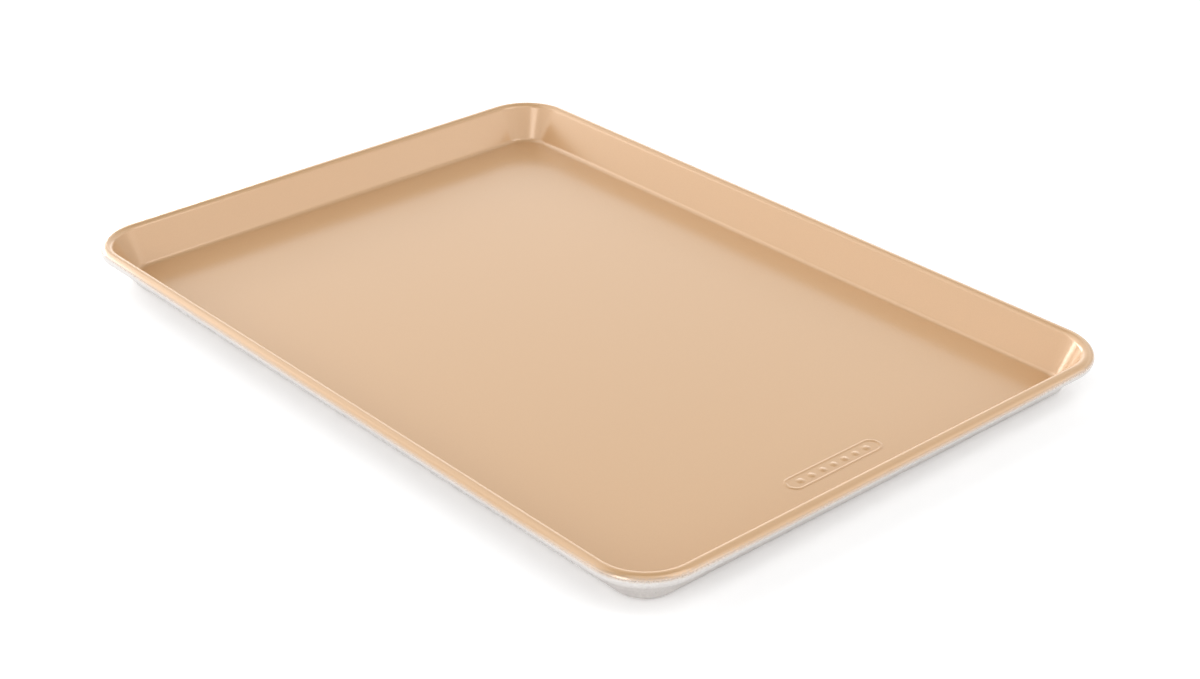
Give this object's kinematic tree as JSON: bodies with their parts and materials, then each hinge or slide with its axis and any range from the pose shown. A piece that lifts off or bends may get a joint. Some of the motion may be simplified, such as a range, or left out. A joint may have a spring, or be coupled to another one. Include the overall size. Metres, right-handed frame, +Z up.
{
  "type": "jelly roll pan",
  "caption": "Shallow rectangular baking sheet with flared walls, round corners and a rolled rim over a reinforcing wire, gold-coated inside and bare metal underneath.",
  "frame": {"origin": "middle of the flat base, on the surface that the pan stands on", "axes": "+X along the long sides, +Y along the short sides, +Z up out of the open top"},
  "size_m": [0.394, 0.277, 0.019],
  "materials": {
    "pan_sheet": "satin champagne-gold non-stick coating inside and over the rim, bare satin aluminium on the underside and the outside of the walls",
    "rim_wire": "plain drawn steel wire, hidden inside the curl"
  },
  "bodies": {
    "root": {"pan_body": "pan_sheet", "rim_wire": "rim_wire"}
  },
  "joints": []
}
